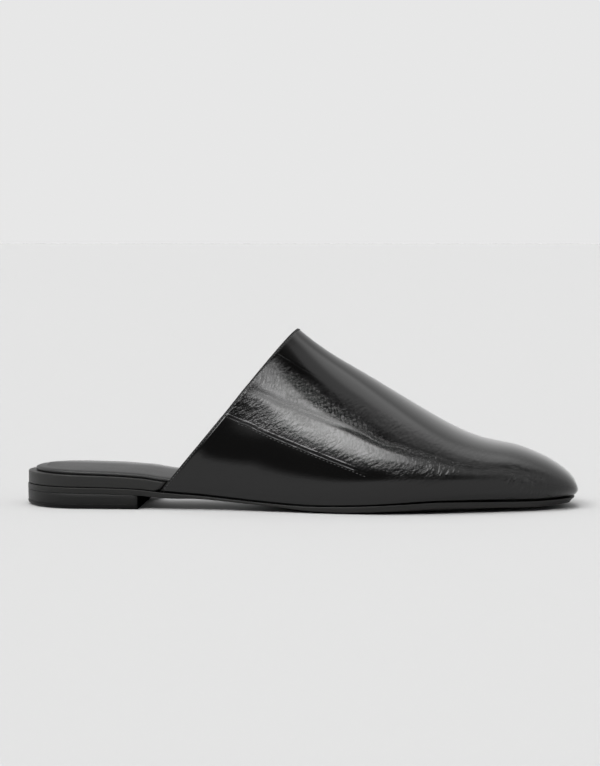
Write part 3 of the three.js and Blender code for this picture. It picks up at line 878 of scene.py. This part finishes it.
# Fine marks of the vamp's leather, as bump: depths and lengths in millimetres
folds = {"depth": 0.336, "middleHalf": 13.0, "middleSoft": 8.0, "elsewhere": 0.05, "fades": (70, 130)}
crumples = {
    "depth": 0.8, "width": (0.6, 3.8), "fades": (95, 140), "wander": 4.0,
    "crackDepth": 0.2, "crackWidth": 1.3,
}
crinkles = {"depth": 1.2, "ballAt": 91, "toesAt": 130}
seamMarks = {
    "grooves": [("upperSeam", 0.018, 8), ("lowerSeam", 0.12, 48)],  # with the depth and where each fades out
    "fade": 26, "groove": (0.05, 0.45), "lipAt": 1.0, "lip": (0.3, 1.1), "lipShare": 0.7,
}
collarMarks = {"edge": (0.45, 0.95), "edgeRoughness": 0.45, "grooveDepth": 0.12, "poreDepth": 0.006}


def vampShader(graph):
    across, around, _ = graph.parts(graph.node("ShaderNodeUVMap", {"uv_map": "shoe"}))
    along = across * uvSpan
    strip = (around - 0.5) * uvSpan
    side = abs(strip)
    patch = graph.noise(graph.vector(along * 0.06, strip * 0.09, 9.0), 1.0, 2.0)
    wander = graph.noise(graph.vector(along * 0.12, strip * 0.02, 0.0), 1.0, 3.0) - 0.5
    middle = side.band(vampLook["stripMiddle"], folds["middleHalf"], folds["middleSoft"])
    # Fine folds across the strips, in two leaning sets
    leanOne = graph.vector(along + strip * 0.35, strip * 0.30, 0.0)
    leanTwo = graph.vector(along - strip * 0.25, strip * 0.36, 7.0)
    folded = graph.noise(leanOne, 0.85, 3.0, 0.6) + graph.noise(leanTwo, 0.7, 3.0, 0.6) - 1.0
    amount = middle * (patch.step(0.3, 0.7) * 0.8 + 0.6) + folds["elsewhere"]
    height = folded * folds["depth"] * amount * (1 - along.step(*folds["fades"]) * 0.5)
    # The crumpled line down the middle of a strip
    pinch = abs(side - vampLook["stripMiddle"] + wander * crumples["wander"])
    crumple = graph.noise(graph.vector(along * 1.6, strip * 0.8, 2.0), 1.0, 3.0, 0.65) - 0.5
    crumpled = (1 - pinch.step(*crumples["width"])) * (1 - along.step(*crumples["fades"]) * 0.6)
    height = height + crumple * crumpled * crumples["depth"]
    crack = (1 - pinch.step(0.0, crumples["crackWidth"])) * crumple.step(-0.15, 0.1)
    height = height - crack * crumples["crackDepth"]
    # Crinkles where the toes bend
    ballBand = along.band(crinkles["ballAt"], 4, 8) * side.band(vampLook["stripMiddle"] + 3, 3, 4)
    toeBand = along.band(crinkles["toesAt"], 6, 8) * side.band(vampLook["stripMiddle"] + 1, 4, 6)
    crinkle = graph.noise(graph.vector(along * 0.5 + strip * 0.15, strip * 0.2, 5.0), 1.0, 2.0) - 0.5
    height = height + crinkle * (ballBand + toeBand) * crinkles["depth"]
    # Seams: a narrow groove with a raised lip, worn unevenly
    worn = graph.noise(graph.vector(along * 0.3, strip * 0.1, 3.0), 1.0, 2.0).step(0.3, 0.6)
    for line, deepest, end in seamMarks["grooves"]:
        offset = side - vampLook[line]
        depth = (1 - along.step(end, end + seamMarks["fade"])) * (worn * 0.7 + 0.3) * deepest
        height = height - (1 - abs(offset).step(*seamMarks["groove"])) * depth
        lip = 1 - abs(offset + seamMarks["lipAt"]).step(*seamMarks["lip"])
        height = height + lip * depth * seamMarks["lipShare"]
    pores = graph.noise(graph.vector(along, strip, 0.0), 2.6, 2.0) - 0.5
    height = height + pores * collarMarks["poreDepth"]
    # The turned collar edge is duller and has a shallow stitching groove
    edge = 1 - along.step(*collarMarks["edge"])
    height = height - along.band(vampLook["stitchLine"], 0.15, 0.5) * collarMarks["grooveDepth"]
    roughness = patch * 0.06 + middle * 0.02 + 0.10 + edge * collarMarks["edgeRoughness"]
    return {"height": height, "Roughness": roughness, "Coat Weight": (1 - edge) * vampLook["coat"]}


dress(vamp, makeMaterial("vampStrips", vampLook, vampShader), "upper")

# Lining behind it
liningLook = {
    "colour": (0.020, 0.020, 0.020), "roughness": 0.5, "specular": 0.4, "grainSize": 0.7,
    "grainDepth": 0.04, "gap": 0.06, "thickness": 0.7, "below": 0.006, "rows": 70, "columns": 64,
}
liningFace = -vampLook["leather"] - liningLook["gap"]
lining = shell("vampLining", liningLook["rows"], liningLook["columns"], liningFace,
               liningLook["thickness"], liningLook["below"])
liningGrain = plainLeather(liningLook["grainSize"], liningLook["grainDepth"])
dress(lining, makeMaterial("liningLeather", liningLook, liningGrain))
print("vamp made")

# Stitches: short rounded threads half sunk in the leather
collarThread = {
    "colour": (0.035, 0.035, 0.035), "roughness": 0.4, "specular": 0.5,
    "pitch": 1.6, "length": 1.1, "radius": 0.26, "out": 0.02, "ends": 0.6,
}
seamThread = {
    "colour": (0.03, 0.03, 0.03), "roughness": 0.3, "specular": 0.5,
    "pitch": 1.7, "length": 1.15, "radius": 0.16, "out": 0.04, "start": 8.0, "end": 66.0, "below": 1.2,
}
threadGrain = plainLeather(0.3, 0.02)


def threadRun(name, stitches, look):
    bm = bmesh.new()
    for middle, direction, normal in stitches:
        made = bmesh.ops.create_uvsphere(bm, u_segments=6, v_segments=4, radius=1)
        xAxis = Vector(direction).normalized()
        zAxis = Vector(normal).normalized()
        yAxis = zAxis.cross(xAxis).normalized()
        axes = (xAxis * look["length"] / 2, yAxis * look["radius"], zAxis * look["radius"])
        turn = Matrix(axes).transposed().to_4x4() * 0.001
        turn.translation = Vector(place(middle))
        turn[3][3] = 1
        bmesh.ops.transform(bm, matrix=turn, verts=made["verts"])
    return finishMesh(bm, name, weld=1e-8)


def stitchOn(u, v, girth, along, out):
    normal = upperNormal(np.array(u), np.array(v))
    dip = float(collarDip(toStrip(np.array(girth), np.array(along)), along))
    return upperPoint(u, v) + normal * (out + dip), normal


# Along the collar
vs = np.linspace(-0.985, 0.985, 1200)
lengthPerU = np.linalg.norm(upperPoint(0.01, vs) - upperPoint(0.0, vs), axis=1) / 0.01
us = collarStart(vs) + vampLook["stitchLine"] / lengthPerU
line = upperPoint(us, vs)
run = np.concatenate([[0], np.cumsum(np.linalg.norm(np.diff(line, axis=0), axis=1))])


def pointAlongLine(at):
    return np.array([np.interp(at, run, line[:, k]) for k in range(3)])


collarStitches = []
for at in np.arange(collarThread["ends"], run[-1] - collarThread["ends"], collarThread["pitch"]):
    v = float(np.interp(at, run, vs))
    u = float(np.interp(at, run, us))
    girth = float(girthAt(np.array(u), np.array(v)))
    point, normal = stitchOn(u, v, girth, vampLook["stitchLine"], collarThread["out"])
    collarStitches.append((point, pointAlongLine(at + 0.5) - pointAlongLine(at - 0.5), normal))
collarPiece = threadRun("collarStitches", collarStitches, collarThread)
dress(collarPiece, makeMaterial("blackThread", collarThread, threadGrain))

# Beside the lower seam on both sides
seamStitches = []
for side in (-1, 1):
    for along in np.arange(seamThread["start"], seamThread["end"], seamThread["pitch"]):
        u = float(np.interp(along + np.interp(0, girthU, ridgeAlong), ridgeAlong, girthU))
        seam = np.interp(along, stripRows["along"], stripRows["lowerSeam"])
        distance = side * (seam + seamThread["below"])
        footGirth = float(girthAt(np.array(u), np.array(float(side))))
        if abs(footGirth) > abs(distance) + 2:
            v = girthToV(u, distance)
            point, normal = stitchOn(u, v, distance, along, seamThread["out"])
            seamStitches.append((point, upperPoint(u + 1e-3, v) - upperPoint(u - 1e-3, v), normal))
seamPiece = threadRun("seamStitches", seamStitches, seamThread)
dress(seamPiece, makeMaterial("seamThread", seamThread, threadGrain))
print("stitches made", len(collarStitches), len(seamStitches))

# Floor and lamps
stageLook = {"background": 0.800, "floorColour": 0.434, "floorSize": 14.0, "sun": 1.1, "sunSoftness": 25}
bm = bmesh.new()
bmesh.ops.create_grid(bm, x_segments=1, y_segments=1, size=stageLook["floorSize"])
floorMesh = bpy.data.meshes.new("floor")
bm.to_mesh(floorMesh)
bm.free()
floor = bpy.data.objects.new("floor", floorMesh)
bpy.context.scene.collection.objects.link(floor)
paleFloor = {"colour": (stageLook["floorColour"],) * 3, "roughness": 1.0, "specular": 0.0}
floorMesh.materials.append(makeMaterial("paleFloor", paleFloor, unvaried))


def addLamp(name, kind, power):
    lamp = bpy.data.objects.new(name, bpy.data.lights.new(name, kind))
    lamp.data.energy = power
    lamp.visible_glossy = False
    bpy.context.scene.collection.objects.link(lamp)
    return lamp


sun = addLamp("softTop", "SUN", stageLook["sun"])
sun.data.angle = math.radians(stageLook["sunSoftness"])

# Light that comes through under the arch from its inner side
archLook = {
    "middle": (0.0590, 0.027, 0.0024), "length": 0.050, "height": 0.0010, "power": 0.0058,
    "spread": 44,  # degrees
}
archLamp = addLamp("archLight", "AREA", archLook["power"])
archLamp.data.shape = "RECTANGLE"
archLamp.data.size = archLook["length"]
archLamp.data.size_y = archLook["height"]
archLamp.data.spread = math.radians(archLook["spread"])
archLamp.location = archLook["middle"]
archLamp.rotation_euler = (math.radians(-90), 0, 0)
archLamp.visible_camera = False

# The studio round the shoe, in degrees of elevation, and of azimuth from the camera's side towards the toe.
# A pair of angles is where a part of it starts to fade and where the fading ends.
studioLook = {
    "level": 0.85, "behind": 0.72, "behindFrom": (120, 150),
    "frontDark": 0.09, "frontMiddle": -8, "frontSides": (28, 62), "frontTop": (20, 33), "frontFoot": (-4, 6),
    "boxLevel": 11.8, "boxFade": 5.8, "boxFadeAcross": (-22, 14), "boxEndFade": 2.5, "boxEndAcross": (0, 30),
    "boxFoot": (31, 39), "boxTop": (52, 61), "boxLeft": (-75, -45), "boxRight": (5, 48),
    "boxRise": 5, "boxRiseAcross": (-25, 0),
    "highBehind": 1.55, "highBehindFoot": (44, 56), "highBehindFrom": (101, 129),
    "stripLevel": 0.03, "stripEndLevel": 0.37, "stripEndAcross": (30, 90),
    "stripMiddle": 66, "stripDrop": 12, "stripDropAcross": (35, 80), "stripHalf": (6, 12),
    "stripLeft": (-80, -50), "stripRight": (86, 112),
    "overhead": 1.2, "overheadFoot": (77, 85),
}
world = bpy.data.worlds.new("studio")
bpy.context.scene.world = world
world.use_nodes = True
sky = Graph(world.node_tree)
dx, dy, dz = sky.parts(sky.node("ShaderNodeTexCoord", {}, output=0))
elevation = dz.apply("ARCSINE") * math.degrees(1)
azimuth = dx.apply("ARCTAN2", -dy) * math.degrees(1)


def rises(field, key):
    return field.step(*studioLook[key])


level = sky.constant(studioLook["level"]).toward(studioLook["behind"], rises(abs(azimuth), "behindFrom"))
frontMask = 1 - rises(abs(azimuth - studioLook["frontMiddle"]), "frontSides")
frontMask = frontMask * (1 - rises(elevation, "frontTop")) * rises(elevation, "frontFoot")
level = level.toward(studioLook["frontDark"], frontMask)
boxFoot = elevation - rises(azimuth, "boxRiseAcross") * studioLook["boxRise"]
boxMask = rises(boxFoot, "boxFoot") * (1 - rises(elevation, "boxTop"))
boxMask = boxMask * rises(azimuth, "boxLeft") * (1 - rises(azimuth, "boxRight"))
boxLevel = studioLook["boxLevel"] - rises(azimuth, "boxFadeAcross") * studioLook["boxFade"]
boxLevel = boxLevel - rises(azimuth, "boxEndAcross") * studioLook["boxEndFade"]
level = level.toward(boxLevel, boxMask)
highBehindMask = rises(elevation, "highBehindFoot") * rises(azimuth, "highBehindFrom")
level = level.toward(studioLook["highBehind"], highBehindMask)
stripMiddle = studioLook["stripMiddle"] - rises(azimuth, "stripDropAcross") * studioLook["stripDrop"]
stripMask = (1 - rises(abs(elevation - stripMiddle), "stripHalf")) * rises(azimuth, "stripLeft")
stripMask = stripMask * (1 - rises(azimuth, "stripRight"))
stripLevel = studioLook["stripLevel"] + rises(azimuth, "stripEndAcross") * studioLook["stripEndLevel"]
level = level.toward(stripLevel, stripMask)
level = level.toward(studioLook["overhead"], rises(elevation, "overheadFoot"))
seenByCamera = sky.node("ShaderNodeLightPath", {}, output=0)
level = level.toward(stageLook["background"], seenByCamera)
background = sky.tree.nodes.new("ShaderNodeBackground")
worldOutput = sky.tree.nodes.new("ShaderNodeOutputWorld")
sky.tree.links.new(level.socket, background.inputs["Color"])
sky.tree.links.new(background.outputs[0], worldOutput.inputs["Surface"])

# Camera: angles in degrees, lengths in metres, focal length and sensor in millimetres
view = {
    "azimuth": 3.6, "elevation": 3.65, "distance": 1.2, "target": (0.1018, 0.0, 0.0575), "focal": 119.28,
    "sensor": 36, "farthest": 50,
}
bpy.context.scene.view_settings.view_transform = "Standard"
turned, raised = math.radians(view["azimuth"]), math.radians(view["elevation"])
back = Vector((math.sin(turned) * math.cos(raised), -math.cos(turned) * math.cos(raised), math.sin(raised)))
camera = bpy.data.objects.new("camera", bpy.data.cameras.new("camera"))
camera.location = Vector(view["target"]) + back * view["distance"]
camera.rotation_mode = "QUATERNION"
camera.rotation_quaternion = (-back).to_track_quat("-Z", "Y")
camera.data.sensor_width = view["sensor"]
camera.data.lens = view["focal"]
camera.data.clip_end = view["farthest"]
bpy.context.scene.collection.objects.link(camera)
bpy.context.scene.camera = camera
print("stage made")
